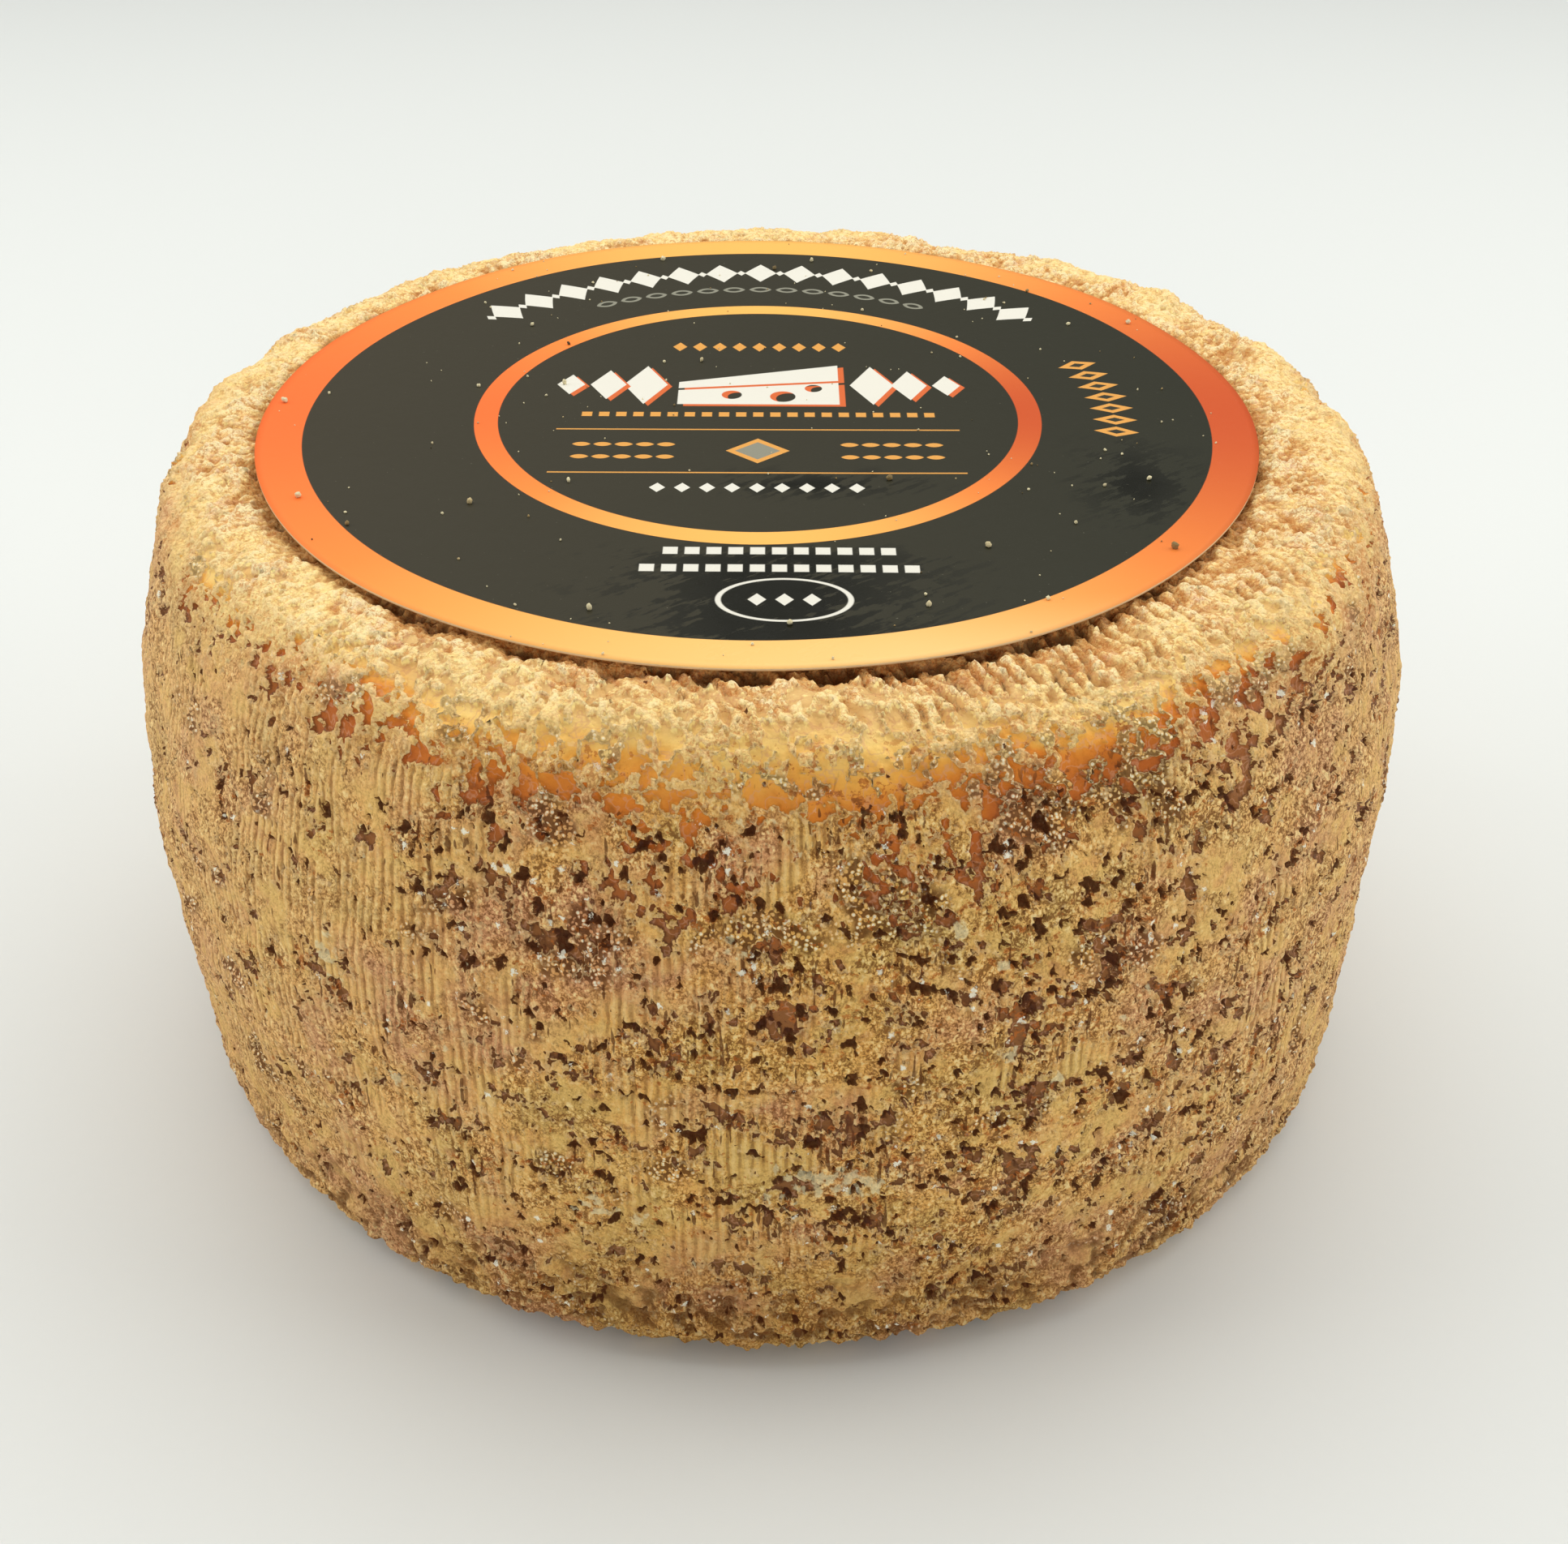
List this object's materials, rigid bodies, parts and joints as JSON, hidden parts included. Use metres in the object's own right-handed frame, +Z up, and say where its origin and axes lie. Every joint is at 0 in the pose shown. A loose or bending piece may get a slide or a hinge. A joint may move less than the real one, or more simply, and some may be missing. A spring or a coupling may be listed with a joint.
{
  "type": "cheese wheel",
  "caption": "Whole aged cheese wheel with a barrel-shaped crumbly natural rind and a round dark paper label with gold bands on its top face.",
  "frame": {"origin": "middle of the flat base, where the wheel stands", "axes": "+Z up through the wheel from base to label; +X to the right and +Y to the back as the label is read"},
  "size_m": [0.1906, 0.1894, 0.0986],
  "materials": {
    "rind": "matte",
    "label_paper": "satin"
  },
  "bodies": {
    "root": {"cheese_wheel": "rind", "label": "label_paper"}
  },
  "joints": []
}
